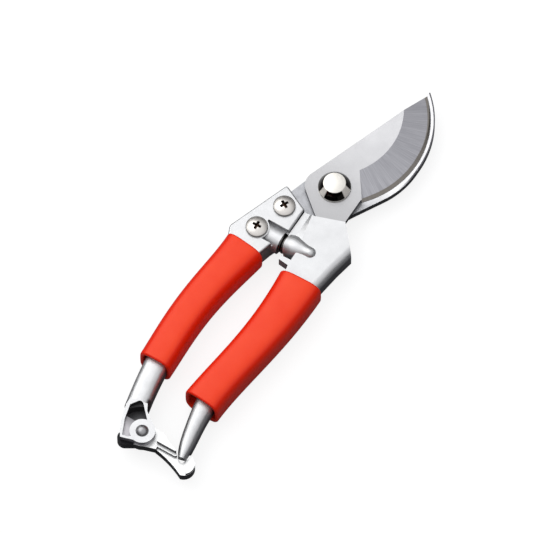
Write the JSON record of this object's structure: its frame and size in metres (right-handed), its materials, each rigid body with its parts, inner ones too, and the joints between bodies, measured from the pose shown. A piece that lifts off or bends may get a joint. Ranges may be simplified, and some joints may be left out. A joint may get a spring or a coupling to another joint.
{
  "type": "bypass pruner",
  "caption": "Bypass pruner with a curved bevelled blade, a hooked counter blade, dipped grips, a return spring and a swinging tail catch.",
  "frame": {"origin": "on the pivot axis, at the outer end face of the pivot bolt, flush with the nut, in the plane the closed tool lies on", "axes": "+Y along the tool from the catch to the blade tips, +Z from the nut to the bolt head, +X towards the side of the blade handle"},
  "size_m": [0.0566, 0.21, 0.017],
  "materials": {
    "handle_alloy": "bead-blasted cast aluminium",
    "grip_red": "dipped red vinyl, satin gloss",
    "blade_steel": "stone-finished tool steel with ground bevels",
    "counter_steel": "stone-finished tool steel",
    "pivot_chrome": "polished chrome plate",
    "screw_nickel": "satin nickel plate",
    "zinc_steel": "zinc plate",
    "bush_bronze": "turned bronze",
    "spring_black": "black oiled spring steel",
    "catch_alloy": "tumbled cast aluminium",
    "rivet_steel": "plain steel rivet"
  },
  "bodies": {
    "counter_side": {"counter_handle": "handle_alloy", "counter_grip": "grip_red", "counter_blade": "counter_steel", "counter_screw_front": "screw_nickel", "counter_screw_rear": "screw_nickel", "counter_nut_front": "zinc_steel", "counter_nut_rear": "zinc_steel", "pivot_bolt": "pivot_chrome", "pivot_washer": "zinc_steel", "pivot_nut": "zinc_steel", "return_spring": "spring_black", "catch_pin": "rivet_steel", "catch_washer": "zinc_steel"},
    "blade_side": {"blade_handle": "handle_alloy", "blade_grip": "grip_red", "cutting_blade": "blade_steel", "pivot_bush": "bush_bronze", "blade_screw_front": "screw_nickel", "blade_screw_rear": "screw_nickel"},
    "tail_catch": {"catch": "catch_alloy"}
  },
  "joints": [
    {"name": "pivot_open", "type": "hinge", "parent": "counter_side", "child": "blade_side", "pos_m": [0, 0, 0.0085], "axis": [0, 0, 1], "range_deg": [0, 24], "deforming": ["return_spring"]},
    {"name": "catch_swing", "type": "hinge", "parent": "counter_side", "child": "tail_catch", "pos_m": [-0.0107, -0.1405, 0.0088], "axis": [0, 0, 1], "range_deg": [-72, 0]}
  ],
  "couplings": [
    {"joint": "catch_swing", "follows": "pivot_open", "ratio": -3}
  ]
}
